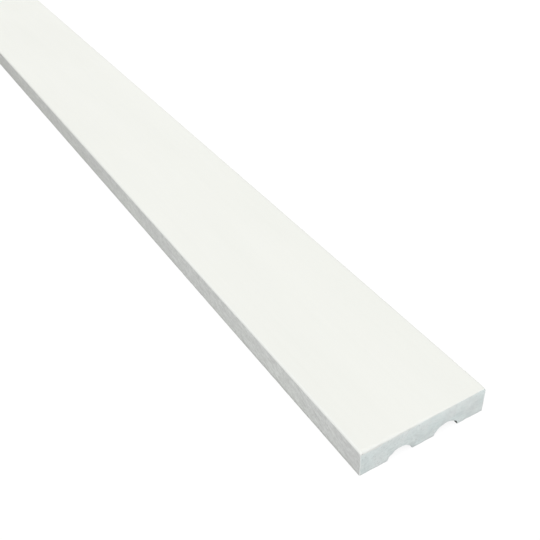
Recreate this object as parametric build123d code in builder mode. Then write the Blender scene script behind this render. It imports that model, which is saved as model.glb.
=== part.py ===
"""Fibre cement trim board with a grooved back, one solid in millimetres.

The board lies on its back with its face up. Its length runs along X, its width along Y and its
thickness along Z. The origin is the middle of the back, between the two grooves, where the board
touches the floor.
"""

import os

from build123d import *

# Driving sizes
# The stock is 8 feet long, and its section is 3-1/2 by 3/4 inches.
board_length = 2440.0
board_width = 89.0
board_thickness = 19.0

# Each relief groove of the back is a round trough, shallower than its own radius.
groove_radius = 9.2
groove_depth = 6.2
groove_spacing = 33.0

# The long edges are eased, those of the face by 1/16 inch and those of the back by less.
face_edge_radius = 1.6
back_edge_radius = 0.5

# The round roof of a trough is one groove depth above the back, so its centre lies below it.
groove_centre_height = groove_depth - groove_radius


with BuildPart() as trim_board:
    # The section stands square to the length, at one cut end of the board.
    with BuildSketch(Plane.YZ.offset(-board_length / 2)) as section:
        Rectangle(board_width, board_thickness, align=(Align.CENTER, Align.MIN))
        face_corners = section.vertices().group_by(Axis.Y)[-1]
        fillet(face_corners, radius=face_edge_radius)

        # The two troughs run the whole length, one on each side of the centre line.
        with Locations((0, groove_centre_height)):
            with GridLocations(groove_spacing, 0, 2, 1):
                Circle(groove_radius, mode=Mode.SUBTRACT)

        # The feet that are left between the troughs and the sides are eased at every corner.
        foot_corners = section.vertices().group_by(Axis.Y)[0]
        fillet(foot_corners, radius=back_edge_radius)
    extrude(amount=board_length)

trim_board.part.label = "trim_board"

os.makedirs("parts", exist_ok=True)
export_step(trim_board.part, "parts/trim_board.step")
print("trim_board volume in litres:", round(trim_board.part.volume / 1e6, 4))
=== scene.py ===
# %% [markdown]
# # A fibre cement trim board
#
# This lesson dresses a CAD board for a studio picture. The real thing is one long piece of fibre
# cement: a smooth primed face, two long sides, a back with two round relief grooves, and two sawn
# ends. The CAD solid holds the exact section. What is finer than about a millimetre is made here:
# worn corners, the unevenness that a saw leaves, and the finish of each surface.
#
# The first step loads the CAD model as a fixed frame. All lengths are metres. X runs along the
# board, Y across it and Z up out of its face, and the floor is at Z = 0.

# %% Load the frame
import math

import bpy
import numpy as np
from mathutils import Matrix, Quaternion, Vector


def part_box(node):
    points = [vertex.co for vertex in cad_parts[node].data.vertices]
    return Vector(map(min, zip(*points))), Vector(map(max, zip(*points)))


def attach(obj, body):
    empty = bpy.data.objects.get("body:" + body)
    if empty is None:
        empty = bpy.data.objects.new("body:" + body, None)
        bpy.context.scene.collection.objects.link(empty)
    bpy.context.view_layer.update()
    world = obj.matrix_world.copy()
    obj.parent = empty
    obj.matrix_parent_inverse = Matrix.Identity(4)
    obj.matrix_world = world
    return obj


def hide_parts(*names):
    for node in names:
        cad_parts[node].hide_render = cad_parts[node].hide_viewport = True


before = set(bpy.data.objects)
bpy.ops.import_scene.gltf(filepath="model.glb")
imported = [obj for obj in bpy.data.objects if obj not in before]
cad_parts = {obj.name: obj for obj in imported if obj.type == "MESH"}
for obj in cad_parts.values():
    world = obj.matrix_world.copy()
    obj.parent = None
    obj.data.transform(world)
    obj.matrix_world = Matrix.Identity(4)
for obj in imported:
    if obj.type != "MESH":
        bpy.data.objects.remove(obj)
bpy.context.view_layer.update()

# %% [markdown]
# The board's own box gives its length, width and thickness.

board_low, board_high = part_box("trim_board")
half_length = board_high.x
half_width = board_high.y
thickness = board_high.z

millimetre = 0.001
print("board length, width, thickness in mm:",
      [round((high - low) / millimetre, 2) for low, high in zip(board_low, board_high)])

# %% [markdown]
# ## The section
#
# The section is the outline that the saw lays bare: a rectangle with eased corners and two round
# troughs in its back. One could draw it as a curve and extrude it, but Blender would close such a
# shape with one flat face at each end, and a flat face can't take any relief. Here the outline is
# four runs of points instead, one each for the back, right side, face and left side. The ends can
# then be filled with a grid that shares its edges with these runs.
#
# Every run is made of two kinds of line, a straight one and an arc. Both leave out their last
# point, because the next line starts with it.

# %% Straight lines and arcs
def straight(start, end, steps):
    """Points (y, z) on a straight line. The share of the way is the mean of an even share and a
    half cosine, so the points stand closer near both ends, where a flat meets a rounded edge."""
    even = np.arange(steps) / steps
    share = 0.5 * even + 0.25 * (1 - np.cos(np.pi * even))
    return np.array(start) + share[:, None] * np.subtract(end, start)


def arc(centre, radius, first_degrees, last_degrees, steps):
    """Points (y, z) on a circle: the centre plus the radius times the cosine and sine of an angle
    that goes evenly from the first to the last."""
    degrees = first_degrees + (last_degrees - first_degrees) * np.arange(steps) / steps
    angle = np.radians(degrees)
    return np.array(centre) + radius * np.stack([np.cos(angle), np.sin(angle)], axis=-1)


quarter = arc((0, 0), 1.0, 0, 90, 3)
print("a quarter circle in three steps starts at", quarter[0], "and its last point is", quarter[-1])

# %% [markdown]
# The troughs are the board's own feature. Each is an arc of a circle that is larger than the
# trough is deep, so its centre lies below the back. Where the arc meets the back, the real edge is
# eased. A small circle does that: it stands on the floor line and touches the groove's circle from
# outside, so that the curve flows from foot to trough with no corner.

# %% One trough of the back
groove_radius = 9.2 * millimetre
groove_depth = 6.2 * millimetre
groove_offset = 16.5 * millimetre
back_edge_radius = 0.5 * millimetre
mouth_steps = 3
groove_steps = 16

groove_centre_height = groove_depth - groove_radius
mouth_rise = back_edge_radius - groove_centre_height
mouth_reach = math.sqrt((groove_radius + back_edge_radius) ** 2 - mouth_rise ** 2)
mouth_degrees = math.degrees(math.atan2(mouth_rise, mouth_reach))


def eased_trough(middle):
    """Points from the foot on the left of a trough to the foot on its right. The centres of the
    small circle and the groove's circle are the sum of both radii apart, and Pythagoras gives how
    far the small one stands from the trough's middle. The two circles touch on the line between
    their centres, so that line's angle is where one arc ends and the next begins."""
    left = (middle - mouth_reach, back_edge_radius)
    right = (middle + mouth_reach, back_edge_radius)
    roof = (middle, groove_centre_height)
    return np.concatenate([
        arc(left, back_edge_radius, 270, 360 - mouth_degrees, mouth_steps),
        arc(roof, groove_radius, 180 - mouth_degrees, mouth_degrees, groove_steps),
        arc(right, back_edge_radius, 180 + mouth_degrees, 270, mouth_steps),
    ])


print("flat feet in mm, outer and middle:",
      round((half_width - back_edge_radius - groove_offset - mouth_reach) / millimetre, 2),
      round(2 * (groove_offset - mouth_reach) / millimetre, 2))

# %% [markdown]
# The runs meet in the middle of each rounded corner, at 45 degrees. That is where a grid on the
# sawn end has its own four corners. The face needs as many points as the back, so that each column
# of the grid has a point at both of its ends.

# %% The four runs of the outline
face_edge_radius = 1.6 * millimetre
corner_steps = 3
foot_steps = 8
side_steps = 9

face_corner = half_width - face_edge_radius
back_corner = half_width - back_edge_radius
face_corner_height = thickness - face_edge_radius

back_run = np.concatenate([
    arc((-back_corner, back_edge_radius), back_edge_radius, 225, 270, corner_steps),
    straight((-back_corner, 0), (-groove_offset - mouth_reach, 0), foot_steps),
    eased_trough(-groove_offset),
    straight((-groove_offset + mouth_reach, 0), (groove_offset - mouth_reach, 0), foot_steps),
    eased_trough(groove_offset),
    straight((groove_offset + mouth_reach, 0), (back_corner, 0), foot_steps),
    arc((back_corner, back_edge_radius), back_edge_radius, 270, 315, corner_steps),
])
right_run = np.concatenate([
    arc((back_corner, back_edge_radius), back_edge_radius, 315, 360, corner_steps),
    straight((half_width, back_edge_radius), (half_width, face_corner_height), side_steps),
    arc((face_corner, face_corner_height), face_edge_radius, 0, 45, corner_steps),
])
face_steps = len(back_run) - 2 * corner_steps
face_run = np.concatenate([
    arc((face_corner, face_corner_height), face_edge_radius, 45, 90, corner_steps),
    straight((face_corner, thickness), (-face_corner, thickness), face_steps),
    arc((-face_corner, face_corner_height), face_edge_radius, 90, 135, corner_steps),
])
left_run = np.concatenate([
    arc((-face_corner, face_corner_height), face_edge_radius, 135, 180, corner_steps),
    straight((-half_width, face_corner_height), (-half_width, back_edge_radius), side_steps),
    arc((-back_corner, back_edge_radius), back_edge_radius, 180, 225, corner_steps),
])
outline = np.concatenate([back_run, right_run, face_run, left_run])
print("points in the outline:", len(outline), "of which along the back:", len(back_run))

# %% [markdown]
# Wear and relief push the surface inwards, square to it, so each point of the outline needs its
# outward direction. It also needs to know how sharply the outline turns there: handling rubs
# corners and leaves flats alone.

# %% Which way each point faces, and how sharp it is
ahead = np.roll(outline, -1, axis=0) - outline
behind = np.roll(ahead, 1, axis=0)
tangent = ahead + behind
outward = np.stack([tangent[:, 1], -tangent[:, 0]], axis=-1)
outward /= np.linalg.norm(outward, axis=-1, keepdims=True)

turn = np.cross(np.append(behind, np.zeros((len(outline), 1)), axis=1),
                np.append(ahead, np.zeros((len(outline), 1)), axis=1))[:, 2]
step = np.linalg.norm(ahead, axis=-1) * np.linalg.norm(behind, axis=-1)
turn = np.arcsin(turn / step)
curvature = 2 * turn / (np.linalg.norm(ahead, axis=-1) + np.linalg.norm(behind, axis=-1))
sharpness = np.clip(curvature * face_edge_radius, 0, 1)
print("tightest edge radius in mm:", round(1 / curvature.max() / millimetre, 3))

# %% [markdown]
# ## Unevenness
#
# Cast, pressed and sawn cement is never quite flat. A texture could fake that, but here the larger
# unevenness is real shape. Adding many sine waves that run in random directions gives a smooth
# random field, and it works on whole arrays of points at once.

# %% A smooth random field
def uneven(points, wavelength, seed):
    """Unevenness with a mean of 0 and a spread of 1 at each point: the sum of 24 sine waves of one
    wavelength, each with its own random direction and phase, over the square root of 12. The
    seed fixes the random choices, so that every run gives the same board."""
    waves = 24
    random = np.random.default_rng(seed)
    directions = random.normal(size=(waves, points.shape[-1]))
    directions /= np.linalg.norm(directions, axis=-1, keepdims=True)
    phases = random.uniform(0, 2 * np.pi, waves)
    angles = points @ (directions.T * 2 * np.pi / wavelength) + phases
    return np.sin(angles).sum(axis=-1) / math.sqrt(waves / 2)


trial_points = np.random.default_rng(1).uniform(size=(1000, 3))
trial = uneven(trial_points, wavelength=0.1, seed=5)
print("unevenness over 1000 points, mean and spread:",
      round(trial.mean(), 2), round(trial.std(), 2))

# %% [markdown]
# ## The sawn ends
#
# A saw leaves two things: a face that is almost flat, and an edge round it that has broken away a
# little, more in some places than in others. Both are functions of where a point is on the end.
# The face comes first. The blade wanders as it goes through, so it leaves long waves and short
# ones.

# %% How far the saw strays
saw_stray = 0.05 * millimetre
saw_wave, saw_ripple = 26 * millimetre, 6 * millimetre
end_seeds = {1: 11, -1: 23}


def saw_relief(section, seed):
    """How far the sawn face lies behind the cut's true plane at points (y, z): a mean depth plus
    long and short unevenness, and never less than nothing."""
    field = uneven(section, saw_wave, seed) + 0.5 * uneven(section, saw_ripple, seed + 1)
    return np.clip(saw_stray * (1 + 0.5 * field), 0, None)


print("the saw strays by up to", round(saw_relief(outline, end_seeds[1]).max() / millimetre, 3),
      "mm round the end at +X")

# %% [markdown]
# The broken edge is the detail that tells a sawn board from a computer's block, because it catches
# a thin line of light. The corners of the face are worn most, and the side where the blade leaves
# the board, here the left one, is torn more than the other.

# %% How much edge breaks away
edge_break = 0.50 * millimetre
edge_chip = 0.30 * millimetre
corner_wear = 0.60 * millimetre
least_break, most_break = 0.15 * millimetre, 2.0 * millimetre
ripple_length, wander_length, chip_length = 5 * millimetre, 17 * millimetre, 3.5 * millimetre
chip_threshold = 0.7
tear_growth = 1.1
arris_steps = 3


def edge_size(seed):
    """How wide the edge has broken away at each point of the outline: a mean width that varies a
    little everywhere and more along the face, and grows threefold from the middle to the left,
    plus a chip wherever a second field is high, plus wear where the outline is sharp. It stays
    under nine tenths of a corner's own radius, so that the corner can't turn inside out."""
    on_face = np.clip(outward[:, 1], 0, 1)
    tear = np.exp(-tear_growth * on_face * outline[:, 0] / half_width)
    ripple = 1 + 0.2 * uneven(outline, ripple_length, seed)
    wander = 1 + 0.2 * on_face * uneven(outline, wander_length, seed + 2)
    chips = np.clip(uneven(outline, chip_length, seed + 1) - chip_threshold, 0, 1.5)
    facing_up = outward[:, 1] > -0.2
    size = (edge_break * tear * ripple * wander * (1 + 0.3 * on_face)
            + edge_chip * chips + corner_wear * sharpness * facing_up)
    limit = 0.9 / np.maximum(curvature, 1e-3)
    return np.clip(size, least_break, np.minimum(limit, most_break))


edge_sizes = {side: edge_size(seed) for side, seed in end_seeds.items()}
for side, size in edge_sizes.items():
    print("end at", "+X" if side > 0 else "-X", "has a broken edge of",
          round(size.min() / millimetre, 2), "to", round(size.max() / millimetre, 2), "mm")

# %% [markdown]
# ## The long skin
#
# The skin is the outline carried along X. Its stations stand close together near the ends, where
# the picture looks, and further apart in the middle. Each station is pulled back in proportion,
# so that the last one falls exactly where the broken edge begins, and no two stations cross.

# %% Stations along the board
station_count = 500
crowding = 0.9

even_share = np.linspace(-1, 1, station_count)
stations = (1 - crowding) * even_share + crowding * np.sin(0.5 * np.pi * even_share)
spacing = np.diff(stations) * half_length
print("station spacing in mm, at the ends and in the middle:",
      round(spacing[0] / millimetre, 2), round(spacing.max() / millimetre, 2))

# %% [markdown]
# A station is a share of the way from the middle to an end, from -1 to 1. Every point of the
# outline has a reach of its own: half the length less its broken edge and the saw's straying. The
# share times that reach is the point's place along X.

# %% The skin's points
reach = {side: half_length - edge_sizes[side] - saw_relief(outline, seed)
         for side, seed in end_seeds.items()}
along = stations[:, None] * np.where(stations[:, None] > 0, reach[1], reach[-1])
skin = np.concatenate([
    along[..., None],
    np.broadcast_to(outline, along.shape + (2,)),
], axis=-1)
print("skin of", skin.shape[0], "by", skin.shape[1], "points")

# %% [markdown]
# These points still lie on a perfect extrusion. A real board leaves the press lengthwise, so its
# face has faint waves that are four times longer than they are wide. Its back lay on a belt and
# is rougher, and its rounded edges have been knocked. Each of the three is a random field with
# wavelengths and seeds of its own, and together they push the skin inwards.

# %% Waves, roughness and dents
face_wave = 0.04 * millimetre
back_wave = 0.09 * millimetre
dent = 0.16 * millimetre
wave_length, back_length = 32 * millimetre, 9 * millimetre
dent_length, small_dent_length = 14 * millimetre, 5 * millimetre
wave_seed, back_seed, dent_seed, small_dent_seed = 31, 37, 41, 43
dent_threshold = 1.1
wave_stretch = 4

lengthwise = skin / np.array([wave_stretch, 1, 1])
waves = 1 + 0.4 * uneven(lengthwise, wave_length, wave_seed)
roughness = 1 + 0.4 * uneven(skin, back_length, back_seed)
dents = (uneven(skin, dent_length, dent_seed)
         + 0.6 * uneven(skin, small_dent_length, small_dent_seed))
dents = np.clip(dents - dent_threshold, 0, 1.6)

backward = np.clip(-outward[:, 1], 0, 1)
depth = face_wave * waves + back_wave * roughness * backward + dent * dents * sharpness
depth = np.clip(depth, 0, None)
depth -= depth.min()
skin[..., 1:] -= depth[..., None] * outward
print("the skin's deepest dent in mm:", round(depth.max() / millimetre, 3))

# %% [markdown]
# The broken edge is a quarter round that turns from the skin to the sawn face. It is made as a few
# more rings of the same outline, each a little further out along X and a little further in.

# %% The rings of a broken edge
def edge_rings(side):
    """Rings from the skin's last station to the sawn face, without that station. At each angle of
    a quarter turn, a ring lies the size of the edge times one minus the sine behind the sawn face,
    and the size times one minus the cosine inside the skin."""
    angle = np.linspace(0, 0.5 * np.pi, arris_steps + 1)[1:, None]
    size = edge_sizes[side]
    last_depth = depth[-1 if side > 0 else 0]
    x = half_length - saw_relief(outline, end_seeds[side]) - size * (1 - np.sin(angle))
    inside = last_depth + size * (1 - np.cos(angle))
    section = outline - inside[..., None] * outward
    return np.concatenate([side * x[..., None], section], axis=-1)


rings = np.concatenate([edge_rings(-1)[::-1], skin, edge_rings(1)])
print("rings in all:", len(rings))

# %% [markdown]
# Each sawn face is then filled with a grid, by a method called a Coons patch. It stretches a net
# between four curves, here the four runs of the last ring, and the net's rim lies exactly on them.
# A fan from the middle would be easier, but its long thin triangles shade badly over relief.

# %% Fill a sawn face
back_count, side_count = len(back_run), len(right_run)
columns, rows = back_count + 1, side_count + 1


def rim_index():
    """For each point of the grid's rim, which point of the outline it is; -1 inside. The back run
    is the lowest row and the face run the highest, taken backwards."""
    index = np.full((columns, rows), -1)
    start = back_count
    index[:, 0] = np.arange(columns)
    index[-1, :] = start + np.arange(rows)
    start += side_count
    index[::-1, -1] = start + np.arange(columns)
    start += back_count
    index[0, ::-1] = (start + np.arange(rows)) % len(outline)
    return index


rim = rim_index()
inside_grid = rim < 0


def coons(ring):
    """The grid between four curves: the straight mix of the back and face curves, plus the straight
    mix of the left and right curves, minus the plain mix of the four corners, which both count."""
    v = ring[rim[0], 2] - ring[rim[0, 0], 2]
    v = (v / v[-1])[None, :, None]
    u = np.linspace(0, 1, columns)[:, None, None]
    back, face = ring[rim[:, :1]], ring[rim[:, -1:]]
    left, right = ring[rim[:1]], ring[rim[-1:]]
    corners = ((1 - u) * ((1 - v) * back[:1] + v * face[:1])
               + u * ((1 - v) * back[-1:] + v * face[-1:]))
    return (1 - v) * back + v * face + (1 - u) * left + u * right - corners


def sawn_face(side):
    """The inner points of one end's grid, each laid back by the saw's unevenness there."""
    grid = coons(rings[-1 if side > 0 else 0])
    grid[..., 0] = side * (half_length - saw_relief(grid[..., 1:], end_seeds[side]))
    return grid[inside_grid]


sawn = {side: sawn_face(side) for side in end_seeds}
print("inner points of one sawn face:", len(sawn[1]), "in", columns, "by", rows, "grid lines")

# %% [markdown]
# ## One closed mesh
#
# All the points go into one list: the rings first, then the inner points of both ends. A face is
# four numbers in that list. Their order decides which way the face looks, so it is worked out once
# for a grid and checked afterwards by the volume that the mesh encloses.

# %% Faces from grids of point numbers
def grid_faces(index):
    """Faces between neighbouring rows and columns of a grid of point numbers. Each face goes along
    the row first, so it looks the way that the row's direction crossed with the column's does."""
    return np.stack([
        index[:-1, :-1], index[:-1, 1:], index[1:, 1:], index[1:, :-1],
    ], axis=-1).reshape(-1, 4)


ring_index = np.arange(rings.shape[0] * rings.shape[1]).reshape(rings.shape[:2])
wrapped = np.concatenate([ring_index, ring_index[:, :1]], axis=1)
skin_faces = grid_faces(wrapped)

end_faces = {}
next_point = ring_index.size
for side, ring in ((1, ring_index[-1]), (-1, ring_index[0])):
    grid = np.where(inside_grid, -1, ring[rim])
    grid[inside_grid] = next_point + np.arange(inside_grid.sum())
    next_point += inside_grid.sum()
    end_faces[side] = grid_faces(grid.T if side > 0 else grid)

board_points = np.concatenate([rings.reshape(-1, 3), sawn[1], sawn[-1]])
board_faces = np.concatenate([skin_faces, end_faces[1], end_faces[-1]])
print("board mesh:", len(board_points), "points and", len(board_faces), "faces")

# %% [markdown]
# Each face also gets the number of its finish. The primer covers the face and its rounded edges,
# the sides show the cement's layers through it, the ends are sawn and the back is left bare. A
# sawn end starts at the second ring of its broken edge, because the primer laps over the first.

# %% Which finish each face wears
finish_names = ["primed_face", "primed_side", "sawn_end", "bare_back"]
primed_face, primed_side, sawn_end, bare_back = range(4)

right_finish = np.full(side_count, primed_side)
right_finish[-corner_steps:] = primed_face
around = np.concatenate([
    np.full(back_count, bare_back),
    right_finish,
    np.full(back_count, primed_face),
    right_finish[::-1],
])
skin_finish = np.broadcast_to(around, (len(rings) - 1, len(outline))).copy()
skin_finish[:arris_steps - 1] = sawn_end
skin_finish[1 - arris_steps:] = sawn_end
end_count = len(end_faces[1]) + len(end_faces[-1])
board_finish = np.concatenate([skin_finish.ravel(), np.full(end_count, sawn_end)])
print("faces of each finish:", dict(zip(finish_names, np.bincount(board_finish).tolist())))

# %% [markdown]
# Blender takes the points and faces as plain lists, and the finishes of all faces in one call. The
# enclosed volume then tells whether the faces look outwards: every face is cut into two triangles,
# and the sum of the pyramids between them and the origin is negative when they look inwards.

# %% Put the arrays into a mesh
board_mesh = bpy.data.meshes.new("trim_board_skin")
board_mesh.from_pydata(board_points.tolist(), [], board_faces.tolist())
board_mesh.polygons.foreach_set("material_index", board_finish.astype(np.int32))
board_mesh.polygons.foreach_set("use_smooth", np.ones(len(board_faces), bool))
board_mesh.update()

corners = board_points[board_faces]
signed = (np.einsum("ij,ij->i", corners[:, 0], np.cross(corners[:, 1], corners[:, 2]))
          + np.einsum("ij,ij->i", corners[:, 0], np.cross(corners[:, 2], corners[:, 3]))) / 6
print("enclosed volume in litres, positive when the faces look outwards:",
      round(signed.sum() * 1000, 4))

# %% [markdown]
# Two measures are kept with the mesh, as attributes. One is how far a point of a sawn end lies from
# the primed surfaces, so that its finish can let a little primer lap round the edge. Near a corner
# both the face and a side are close, and primer comes round from both.

# %% Keep the distance from the primed surfaces
nearly_nothing = 0.01 * millimetre


def keep_with_mesh(name, values):
    """One number for each point of the mesh, under a name that a material can read."""
    attribute = board_mesh.attributes.new(name, "FLOAT", "POINT")
    attribute.data.foreach_set("value", values.astype(np.float32))
    print(name, "goes from", round(float(values.min()), 2), "to", round(float(values.max()), 2))


# The distance is the product of those from the side and the face over their sum. That is about
# the smaller of the two, and half of either one on a corner's diagonal.
from_side = half_width - np.abs(board_points[:, 1])
from_face = thickness - board_points[:, 2]
both = np.maximum(from_side + from_face, nearly_nothing)
keep_with_mesh("from_primed", from_side * from_face / both / millimetre)

# %% [markdown]
# The other is how worn a point is, which the primer's finish reads: paint shrinks away from an edge
# and is thin there. Along the board the wear is as strong as the outline is sharp, and the broken
# edges round both ends count as fully worn.

# %% Keep the wear
ring_wear = np.tile(sharpness, (len(rings), 1))
ring_wear[:arris_steps] = 1
ring_wear[-arris_steps:] = 1
on_sawn = np.zeros(len(board_points) - ring_index.size)
keep_with_mesh("wear", np.concatenate([ring_wear.ravel(), on_sawn]))

# %% [markdown]
# The board is an object now. It stands for the CAD node, which stays in the frame for the physics
# but isn't shown. Weighted normals let the large flat faces decide how light falls near an edge,
# so that the shading of the small rounded ones doesn't spill over the flats.

# %% Make the board a piece of the frame
board = bpy.data.objects.new("trim_board_dressed", board_mesh)
bpy.context.scene.collection.objects.link(board)
flat_shading = board.modifiers.new("flats stay flat", "WEIGHTED_NORMAL")
flat_shading.mode = "FACE_AREA"
flat_shading.weight = 50

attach(board, "root")
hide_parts("trim_board")
print(board.name, "rides on root")

# %% [markdown]
# ## Finishes
#
# Each finish is a node material that reads Object coordinates, which are the board's own metres.
# A grain can then be given its real size, and it stays the same on every side. Three helpers come
# first: one starts a material, one adds any node and links or sets its inputs, and one links the
# finished patterns to the shader.

# %% Start a finish and add nodes to it
def new_finish(name, specular):
    """A material with its shader, and the board's own coordinates to hang patterns on."""
    material = bpy.data.materials.new(name)
    material.use_nodes = True
    shader = material.node_tree.nodes["Principled BSDF"]
    shader.inputs["Specular IOR Level"].default_value = specular
    place = material.node_tree.nodes.new("ShaderNodeTexCoord").outputs["Object"]
    return material, shader, place


def node(material, kind, inputs, **settings):
    """A new node with its settings. An input is linked where it is a socket, and else set."""
    made = material.node_tree.nodes.new("ShaderNode" + kind)
    for name, value in settings.items():
        setattr(made, name, value)
    for name, value in inputs.items():
        if isinstance(value, bpy.types.NodeSocket):
            material.node_tree.links.new(value, made.inputs[name])
        else:
            made.inputs[name].default_value = value
    return made


def connect(material, shader, **inputs):
    """Links finished patterns to the shader's sockets of the same name."""
    for name, socket in inputs.items():
        material.node_tree.links.new(socket, shader.inputs[name.replace("_", " ")])


print("finishes to make:", ", ".join(finish_names))

# %% [markdown]
# The patterns are noise. Blender's noise has a mean near a half, and nearly all of it lies between
# 0.3 and 0.7. So a pattern is made by choosing which part of that range counts: all of it, its
# middle, or only its highest spots.

# %% Patterns from noise
noise_low, noise_high = 0.3, 0.7


def grain(material, place, size, stretch=(1, 1, 1), detail=3.0, slant=0):
    """Noise from 0 to 1 whose grains are about size millimetres across, and stretched by these
    factors along X, Y and Z. A slant in degrees then tips them about Y."""
    scale = [size * millimetre * factor for factor in stretch]
    mapping = node(material, "Mapping", {
        "Vector": place, "Scale": scale, "Rotation": (0, math.radians(slant), 0)},
        vector_type="TEXTURE")
    noise = node(material, "TexNoise", {
        "Vector": mapping.outputs["Vector"], "Scale": 1.0, "Detail": detail, "Roughness": 0.55})
    return noise.outputs[0]


def mapped(material, value, low, high, new_low=0.0, new_high=1.0):
    """The value moved from one range to another, and held inside the new one."""
    return node(material, "MapRange", {
        "Value": value, "From Min": low, "From Max": high,
        "To Min": new_low, "To Max": new_high}).outputs["Result"]


def spread(material, noise, new_low, new_high):
    """A noise moved to a new range, so that it reaches both ends of it."""
    return mapped(material, noise, noise_low, noise_high, new_low, new_high)


def halves(material, noise):
    """0 in one half of the surface and 1 in the other, with a soft change between them."""
    return mapped(material, noise, 0.35, 0.65)


def peaks(material, noise, low=0.68, high=0.78):
    """1 on the few highest spots of a noise, and 0 elsewhere."""
    return mapped(material, noise, low, high)


print("a noise is taken to reach from", noise_low, "to", noise_high)

# %% [markdown]
# Patterns are then combined: as numbers, as colours, or as relief. Relief this fine is bump, which
# only tilts the light, because a mesh of this length can't hold details of a tenth of a millimetre.

# %% Combine patterns
def maths(material, operation, first, second):
    """Two values added, multiplied or compared."""
    return node(material, "Math", {0: first, 1: second}, operation=operation).outputs[0]


def weighted(material, *parts):
    """The sum of several patterns, each times its own weight."""
    total = None
    for pattern, weight in parts:
        part = maths(material, "MULTIPLY", pattern, weight)
        total = part if total is None else maths(material, "ADD", total, part)
    return total


def blend_colours(material, share, first, second):
    """The first colour where the share is 0 and the second where it is 1."""
    rgba = [colour if isinstance(colour, bpy.types.NodeSocket) else (*colour, 1.0)
            for colour in (first, second)]
    return node(material, "Mix", {0: share, 6: rgba[0], 7: rgba[1]}, data_type="RGBA").outputs[2]


def tinted(material, share, colour, tint):
    """The colour as it is where the share is 0, and multiplied by the tint where it is 1."""
    return node(material, "Mix", {0: share, 6: colour, 7: (*tint, 1.0)},
                data_type="RGBA", blend_type="MULTIPLY").outputs[2]


def relief(material, *parts):
    """Bumps of several patterns, each laid over the one before and with its depth in
    millimetres."""
    inputs = {"Strength": 1.0}
    for height, depth in parts:
        bump = node(material, "Bump", {
            **inputs, "Height": height, "Distance": depth * millimetre})
        inputs["Normal"] = bump.outputs["Normal"]
    return inputs["Normal"]


print("patterns combine as numbers, colours and relief")

# %% [markdown]
# The face is what the board is bought for. Primer is rolled on at the factory, and it dries to a
# warm white film with a fine stipple and hardly any shine. Up close it isn't one colour: it is a
# touch thinner in long clouds along the board, and thin on worn edges. The clouds are stretched
# noise, and the wear is the attribute that the mesh brings along.

# %% The primed face
primer_white = (0.893, 0.900, 0.853)
primer_thin = (0.868, 0.877, 0.828)
primer_worn = (0.838, 0.846, 0.805)


def make_primed_face():
    """White in clouds and in faint tracks of the roller, worn at the edges, with a stipple."""
    material, shader, place = new_finish("primed_face", specular=0.25)
    clouds = grain(material, place, 34, stretch=(5, 1, 1), detail=4)
    tracks = grain(material, place, 2.2, stretch=(45, 1, 1))
    stipple = grain(material, place, 1.1, detail=2)

    thin = weighted(material, (clouds, 1.0), (tracks, 0.35))
    colour = blend_colours(material, mapped(material, thin, 0.45, 0.90), primer_white, primer_thin)
    wear = node(material, "Attribute", {}, attribute_name="wear").outputs["Fac"]
    worn = maths(material, "MULTIPLY", wear, spread(material, clouds, 0.4, 1.0))
    colour = blend_colours(material, worn, colour, primer_worn)

    normal = relief(material, (stipple, 0.030), (tracks, 0.012))
    rough = spread(material, stipple, 0.50, 0.62)
    connect(material, shader, Base_Color=colour, Normal=normal, Roughness=rough)
    return material


primed_face_material = make_primed_face()
print("made", primed_face_material.name)

# %% [markdown]
# Fibre cement is built up from thin wet sheets, so a long side shows layers: fine lines along the
# board. The primer soaks in there and leaves the side greyer and more mottled than the face. Fine
# slanting marks come from the saw that cut the board to width, and a band of painted shade darkens
# the foot of the side, next to the floor.

# %% The long sides
side_dark, side_light = (0.550, 0.554, 0.533), (0.766, 0.774, 0.750)
side_patch_tint = (0.992, 1.0, 0.982)
# painted shade at the foot of the side, with the heights where it starts and ends
side_foot_shade_tint = (0.72, 0.72, 0.71)
side_pore = (0.42, 0.42, 0.40)
foot_shade_start, side_foot_shade_end = 0.3 * millimetre, 2.4 * millimetre


def make_primed_side():
    """Five noises make the greys: layers, mottle, patches, slanting marks and a fine speckle."""
    material, shader, place = new_finish("primed_side", specular=0.2)
    layers = grain(material, place, 0.9, stretch=(16, 1, 1))
    mottle = grain(material, place, 3.2, stretch=(1.6, 1, 1), detail=4)
    patches = grain(material, place, 22, stretch=(3, 1, 1))
    marks = grain(material, place, 1.1, stretch=(9, 1, 1), detail=2, slant=23)
    speckle = grain(material, place, 1.5, detail=2)
    pores = grain(material, place, 0.7, detail=1)

    tone = weighted(material, (layers, 0.20), (mottle, 0.35), (patches, 0.15), (marks, 0.30),
                    (speckle, 0.30))
    colour = blend_colours(material, mapped(material, tone, 0.515, 0.785), side_dark, side_light)
    colour = tinted(material, halves(material, patches), colour, side_patch_tint)
    height = node(material, "SeparateXYZ", {"Vector": place}).outputs["Z"]
    # painted shade: the foot of the side is darkened towards the floor
    foot_shade = mapped(material, height, foot_shade_start, side_foot_shade_end, 1.0, 0.0)
    colour = tinted(material, foot_shade, colour, side_foot_shade_tint)
    colour = blend_colours(material, peaks(material, pores), colour, side_pore)

    normal = relief(material, (layers, 0.06), (mottle, 0.10), (marks, 0.03))
    rough = spread(material, mottle, 0.62, 0.80)
    connect(material, shader, Base_Color=colour, Normal=normal, Roughness=rough)
    return material


primed_side_material = make_primed_side()
print("made", primed_side_material.name)

# %% [markdown]
# The shade in the corner between a trough's flank and the foot beside it is painted. On the end at
# +X a black streak of painted shadow sits on the right flank of the right trough, and a thin grey
# patch of painted shade beside that of the left one. Each is a stretched ball in the board's own
# coordinates: a finish is dark where it lies inside the ball. Both finishes that meet at the mouth
# use it, so the streak runs over the edge between them.

# %% Painted shadow at the mouths of the troughs
# painted shadow: a near-black colour put where the trough mouths lie in shade
painted_shade_colour = (0.020, 0.021, 0.021)
flank_degrees = 37
streak_radii = (1.2, 0.8, 1.8)
faint_shade_radii = (1.5, 2.0, 2.6)
faint_shade_outside = 1.5 * millimetre
faint_shade_strength = 0.12


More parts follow.
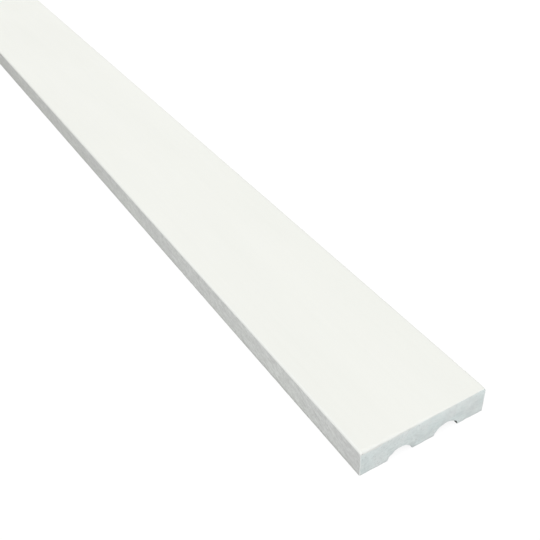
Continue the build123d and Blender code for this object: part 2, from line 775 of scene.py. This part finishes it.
def beside_flank(trough_middle, outside):
    """The point at the end at +X that lies this far outside a trough's circle, at the flank's
    angle: the trough's middle plus the longer radius times the angle's cosine and sine."""
    angle = math.radians(flank_degrees)
    radius = groove_radius + outside
    return (half_length, trough_middle + radius * math.cos(angle),
            groove_centre_height + radius * math.sin(angle))


def spot(material, place, centre, radii):
    """1 inside a ball that is stretched to these radii in millimetres, tipped to lie along the
    flank and set at the centre, and 0 outside it, with a soft rim."""
    mapping = node(material, "Mapping", {
        "Vector": place, "Location": centre, "Rotation": (math.radians(flank_degrees), 0, 0),
        "Scale": [radius * millimetre for radius in radii]}, vector_type="TEXTURE")
    distance = node(material, "VectorMath", {0: mapping.outputs["Vector"]}, operation="LENGTH")
    return mapped(material, distance.outputs["Value"], 0.7, 1.2, 1.0, 0.0)


def painted_shade(material, place):
    """How much of the surface the painted shadow covers, from 0 to 1."""
    streak = spot(material, place, beside_flank(groove_offset, 0), streak_radii)
    faint_shade = spot(material, place, beside_flank(-groove_offset, faint_shade_outside), faint_shade_radii)
    return maths(material, "MAXIMUM", streak, maths(material, "MULTIPLY", faint_shade, faint_shade_strength))


print("the streak of grit lies at y, z in mm:",
      [round(part / millimetre, 1) for part in beside_flank(groove_offset, 0)[1:]])

# %% [markdown]
# A round saw blade scratches arcs into the end, and the belt under the wet board prints a weave
# into the back. Both are stripes, which Blender's wave pattern makes. The arcs are rings about the
# blade's middle, which was beside the board and below it.

# %% Stripes of a real width
blade_middle = (0.0, 0.085, -0.125)
arc_pitch = 1.7 * millimetre
weave_pitch = 1.4 * millimetre
wave_turns = 20 / (2 * math.pi)


def stripes(material, place, pitch, wobble, wobble_size, **settings):
    """One light stripe to each pitch. The wave pattern turns once in 2 pi over 20 times its scale,
    so the scale is one over the pitch and those turns."""
    return node(material, "TexWave", {
        "Vector": place, "Scale": 1 / (pitch * wave_turns), "Distortion": wobble,
        "Detail": 2.0, "Detail Scale": wobble_size}, **settings).outputs[1]


print("stripes to a metre, arcs and weave:", round(1 / arc_pitch), round(1 / weave_pitch))

# %% [markdown]
# The sawn end isn't painted. It is made lighter towards the face, most of all on the right.
# Along the face and the sides a narrow rim of primer laps over the edge, as uneven as a roller
# leaves it, and below the face it reaches furthest down on the left.

# %% Where the end is lighter, and where primer laps over it
half_thickness = 0.5 * thickness
lightening_bottom, lightening_top = 9 * millimetre, 18 * millimetre
lightening_left, lightening_right = -20 * millimetre, 20 * millimetre
lap_left, lap_right = -40 * millimetre, 30 * millimetre


def end_lightening(material, axes):
    """How much lighter the end is made: the height's share times the width's."""
    height_share = mapped(material, axes["Z"], lightening_bottom, lightening_top, 0.0, 0.09)
    width_share = mapped(material, axes["Y"], lightening_left, lightening_right, 1.0, 1.7)
    return maths(material, "MULTIPLY", height_share, width_share)


def primer_lap(material, place, axes):
    """How much primer covers the end, from 0 to 1: the stronger of a rim along all the primed
    surfaces and a second one below the face. Each fades with the distance from them in
    millimetres, to which a slow noise is added, and for the second also a slope from the left to
    the right."""
    runs = spread(material, grain(material, place, 7, detail=3), -0.45, 0.45)
    distance = node(material, "Attribute", {}, attribute_name="from_primed").outputs["Fac"]
    distance = maths(material, "ADD", distance, runs)
    below = mapped(material, axes["Z"], thickness, half_thickness,
                   0.0, half_thickness / millimetre)
    slope = mapped(material, axes["Y"], lap_left, lap_right, -1.5, 0.6)
    below = maths(material, "ADD", below, maths(material, "ADD", runs, slope))
    return maths(material, "MAXIMUM",
                 mapped(material, distance, 0.0, 0.8, 0.75, 0.0),
                 mapped(material, below, 0.2, 1.2, 0.85, 0.0))


print("the end lightens from", round(lightening_bottom / millimetre), "to", round(lightening_top / millimetre),
      "mm above the floor")

# %% [markdown]
# The sawn end itself is raw cement, cooler and greyer than the primer. It shows a cloudy mottle a
# few millimetres across, the edges of the layers, the arcs of the blade, pale flecks and small
# pores. Painted shade darkens its bottom edge, as on the sides.

# %% The sawn ends
end_dark, end_light = (0.700, 0.742, 0.734), (0.880, 0.930, 0.917)
end_cloud_tint = (0.965, 1.0, 1.0)
end_fleck, end_pore = (0.86, 0.88, 0.86), (0.45, 0.47, 0.47)
# painted shade along the end's bottom edge
end_foot_shade_tint = (0.80, 0.80, 0.79)
end_foot_shade_end = 1.4 * millimetre
lapped_primer = (0.872, 0.880, 0.842)


def make_sawn_end():
    """Raw cement first, then the painted shade along the bottom, the primer that laps over it, and
    the painted shadow at the trough mouths on top.
    """
    material, shader, place = new_finish("sawn_end", specular=0.2)
    axes = node(material, "SeparateXYZ", {"Vector": place}).outputs
    mottle = grain(material, place, 4.2, detail=4)
    speckle = grain(material, place, 1.4, detail=2)
    clouds = grain(material, place, 13, detail=2)
    layers = grain(material, place, 1.0, stretch=(1, 9, 1))
    flecks = grain(material, place, 0.8, stretch=(1, 3.5, 1), detail=2)
    pores = grain(material, place, 0.75, detail=1)
    centred = node(material, "Mapping", {
        "Vector": place, "Location": [-axis for axis in blade_middle]}).outputs["Vector"]
    arcs = stripes(material, centred, arc_pitch, 1.4, 0.4, wave_type="RINGS", rings_direction="X")

    tone = weighted(material, (mottle, 0.35), (speckle, 0.28), (layers, 0.18), (arcs, 0.04))
    # the end is made lighter towards the face and towards the right
    tone = maths(material, "ADD", tone, end_lightening(material, axes))
    colour = blend_colours(material, mapped(material, tone, 0.325, 0.585), end_dark, end_light)
    colour = tinted(material, halves(material, clouds), colour, end_cloud_tint)
    colour = blend_colours(material, peaks(material, flecks, 0.62, 0.74), colour, end_fleck)
    colour = blend_colours(material, peaks(material, pores), colour, end_pore)

    # painted shade: the end's bottom edge is darkened towards the floor
    foot_shade = mapped(material, axes["Z"], foot_shade_start, end_foot_shade_end, 1.0, 0.0)
    colour = tinted(material, foot_shade, colour, end_foot_shade_tint)
    lap = primer_lap(material, place, axes)
    colour = blend_colours(material, lap, colour, lapped_primer)
    # painted shadow at the trough mouths, laid over the end
    colour = blend_colours(material, painted_shade(material, place), colour, painted_shade_colour)

    normal = relief(material, (mottle, 0.10), (layers, 0.05), (arcs, 0.02))
    rough = spread(material, mottle, 0.72, 0.88)
    connect(material, shader, Base_Color=colour, Normal=normal, Roughness=rough)
    return material


sawn_end_material = make_sawn_end()
print("made", sawn_end_material.name)

# %% [markdown]
# Nobody looks at the back once the board is up, so it is left bare. The belt's weave is two sets of
# stripes that cross, and the cutter that ploughs the troughs leaves faint lines along them. The
# troughs are darkened with painted shade, so that their walls are the darkest part of the bare
# cement.

# %% The bare back and its troughs
back_dark, back_light = (0.350, 0.357, 0.344), (0.480, 0.489, 0.473)
back_pore = (0.38, 0.39, 0.38)
# painted shade in the troughs, and the heights where it starts and is full
trough_shade_tint = (0.45, 0.45, 0.44)
trough_shade_start, trough_shade_full = 0.2 * millimetre, 1.6 * millimetre


def make_bare_back():
    """Grey mottle, fibres and weave, with painted shade from just above the floor upwards."""
    material, shader, place = new_finish("bare_back", specular=0.15)
    mottle = grain(material, place, 5.5, stretch=(2, 1, 1), detail=5)
    fibres = grain(material, place, 0.9, stretch=(7, 1, 1), detail=2)
    pores = grain(material, place, 0.9, detail=1)
    weft, warp = (stripes(material, place, weave_pitch, 2.0, 0.5, bands_direction=direction)
                  for direction in ("X", "Y"))
    weave = maths(material, "MULTIPLY", weft, warp)

    tone = weighted(material, (mottle, 0.6), (fibres, 0.3), (weave, 0.06))
    colour = blend_colours(material, mapped(material, tone, 0.36, 0.64), back_dark, back_light)
    colour = blend_colours(material, peaks(material, pores), colour, back_pore)
    height = node(material, "SeparateXYZ", {"Vector": place}).outputs["Z"]
    # painted shade: the troughs darken from just above the floor upwards
    trough_shade = mapped(material, height, trough_shade_start, trough_shade_full)
    colour = tinted(material, trough_shade, colour, trough_shade_tint)
    # painted shadow at the trough mouths, laid over the back
    colour = blend_colours(material, painted_shade(material, place), colour, painted_shade_colour)

    normal = relief(material, (mottle, 0.15), (weave, 0.06), (fibres, 0.05))
    rough = spread(material, mottle, 0.80, 0.92)
    connect(material, shader, Base_Color=colour, Normal=normal, Roughness=rough)
    return material


bare_back_material = make_bare_back()
for material in (primed_face_material, primed_side_material, sawn_end_material, bare_back_material):
    board_mesh.materials.append(material)
print("finishes on the board:", [material.name for material in board_mesh.materials])

# %% [markdown]
# ## The studio
#
# The board lies on a large pale floor. The photograph shows it on pure white, so the floor and the
# world look white to the camera. That is done with the Light Path node and not with more light,
# which would burn out the primer. The floor is still partly an ordinary matt surface to the
# camera, so it keeps the board's soft shadow, and for every other ray it is one entirely, so it
# bounces a natural amount of light up at the sides.

# %% The floor
floor_size = 30.0
floor_glow = 0.90
floor_shade = 0.13
floor_albedo = 0.60


def seen_directly(tree):
    """1 for rays from the camera and for those that a gloss or a glass sends on, and else 0."""
    path = tree.nodes.new("ShaderNodeLightPath")
    total = path.outputs["Is Camera Ray"]
    for name in ("Is Glossy Ray", "Is Transmission Ray"):
        either = tree.nodes.new("ShaderNodeMath")
        either.operation = "MAXIMUM"
        tree.links.new(total, either.inputs[0])
        tree.links.new(path.outputs[name], either.inputs[1])
        total = either.outputs[0]
    return total


def make_floor_paint():
    """To the camera a white glow with a little matt grey over it, which takes the shadow, and
    matt grey alone to every other ray."""
    material = bpy.data.materials.new("floor_paint")
    material.use_nodes = True
    tree = material.node_tree
    tree.nodes.clear()
    glow = node(material, "Emission", {"Color": (1, 1, 1, 1), "Strength": floor_glow})
    shade = node(material, "BsdfDiffuse", {"Color": (floor_shade,) * 3 + (1,)})
    matt = node(material, "BsdfDiffuse", {"Color": (floor_albedo,) * 3 + (1,)})
    white = node(material, "AddShader", {0: glow.outputs[0], 1: shade.outputs[0]})
    look = node(material, "MixShader", {
        0: seen_directly(tree), 1: matt.outputs[0], 2: white.outputs[0]})
    node(material, "OutputMaterial", {"Surface": look.outputs[0]})
    return material


half_floor = floor_size / 2
floor_mesh = bpy.data.meshes.new("floor")
floor_mesh.from_pydata([(-half_floor, -half_floor, 0), (half_floor, -half_floor, 0),
                        (half_floor, half_floor, 0), (-half_floor, half_floor, 0)],
                       [], [(0, 1, 2, 3)])
floor_mesh.materials.append(make_floor_paint())
floor = bpy.data.objects.new("floor", floor_mesh)
bpy.context.scene.collection.objects.link(floor)
print("floor of", floor_size, "m")

# %% [markdown]
# The light is as soft as in the photograph, where nothing has a hard shadow. A plain white world
# lights every side, and to the camera it is as white as the floor. The world and the lamps
# together light the face at a level of about one, so that a colour renders about as it is written.

# %% The white world
world_strength = 0.52
world_seen = 1.0

world = bpy.data.worlds.new("studio")
bpy.context.scene.world = world
world.use_nodes = True
background = world.node_tree.nodes["Background"]
background.inputs["Color"].default_value = (1, 1, 1, 1)
strength = world.node_tree.nodes.new("ShaderNodeMapRange")
strength.inputs["To Min"].default_value = world_strength
strength.inputs["To Max"].default_value = world_seen
world.node_tree.links.new(seen_directly(world.node_tree), strength.inputs["Value"])
world.node_tree.links.new(strength.outputs["Result"], background.inputs["Strength"])
bpy.context.scene.view_settings.view_transform = "Standard"
print("the world shines at", world_strength, "and the camera sees it at", world_seen)

# %% [markdown]
# A wide sun high over the sawn end makes the face the brightest surface and the end the next. A
# small lamp low on the left lifts the near part of the long side, which in the photograph is
# lighter than the far part. It is slightly blue, because that part is a neutral grey and its
# finish is a little warm.

# %% The two lamps
sun_level = 0.53
sun_degrees = 45
sun_from = Vector((0.38, -0.12, 0.92))
fill_watts = 0.44
fill_colour = (0.90, 0.94, 1.0)
fill_length, fill_height = 0.50, 0.06
fill_place = Vector((half_length - 0.02, -half_width - 0.45, 0.035))
fill_target = Vector((half_length - 0.06, -half_width, 0.01))


def hang(lamp, place, direction):
    """Puts a lamp at a place and turns it to shine in a direction."""
    lamp_object = bpy.data.objects.new(lamp.name, lamp)
    lamp_object.location = place
    lamp_object.rotation_euler = direction.to_track_quat("-Z", "Y").to_euler()
    bpy.context.scene.collection.objects.link(lamp_object)
    print(lamp.name, "shines towards", [round(part, 2) for part in direction.normalized()])


sun = bpy.data.lights.new("wide_sun", "SUN")
sun.energy = sun_level * math.pi
sun.angle = math.radians(sun_degrees)
hang(sun, Vector((0, 0, 0)), -sun_from)

fill = bpy.data.lights.new("low_fill", "AREA")
fill.energy = fill_watts
fill.color = fill_colour
fill.shape = "RECTANGLE"
fill.size = fill_length
fill.size_y = fill_height
hang(fill, fill_place, fill_target - fill_place)

# %% [markdown]
# ## The camera
#
# The camera stands beyond the sawn end and to the left of the board, and looks down along it, as
# in the photograph. Its place and lens were worked out from the photograph's three long edges and
# the corners of the end. The photograph is slightly turned, so the camera rolls by less than two
# degrees.

# %% Place the camera
lens = 54.0
sensor_width = 36.0
camera_place = Vector((half_length + 0.21860, -0.22488, 0.35706))
camera_target = Vector((half_length - 0.16242, -0.00165, thickness))
roll_degrees = -1.669

camera_data = bpy.data.cameras.new("camera")
camera_data.sensor_width = sensor_width
camera_data.lens = lens
camera = bpy.data.objects.new("camera", camera_data)
bpy.context.scene.collection.objects.link(camera)
bpy.context.scene.camera = camera

sight = camera_target - camera_place
level = sight.to_track_quat("-Z", "Y")
camera.location = camera_place
camera.rotation_mode = "QUATERNION"
camera.rotation_quaternion = level @ Quaternion((0, 0, 1), math.radians(roll_degrees))
camera_right = camera.rotation_quaternion @ Vector((1, 0, 0))
print("the camera is", round(sight.length, 3), "m from where it looks, and its right is",
      [round(part, 4) for part in camera_right])
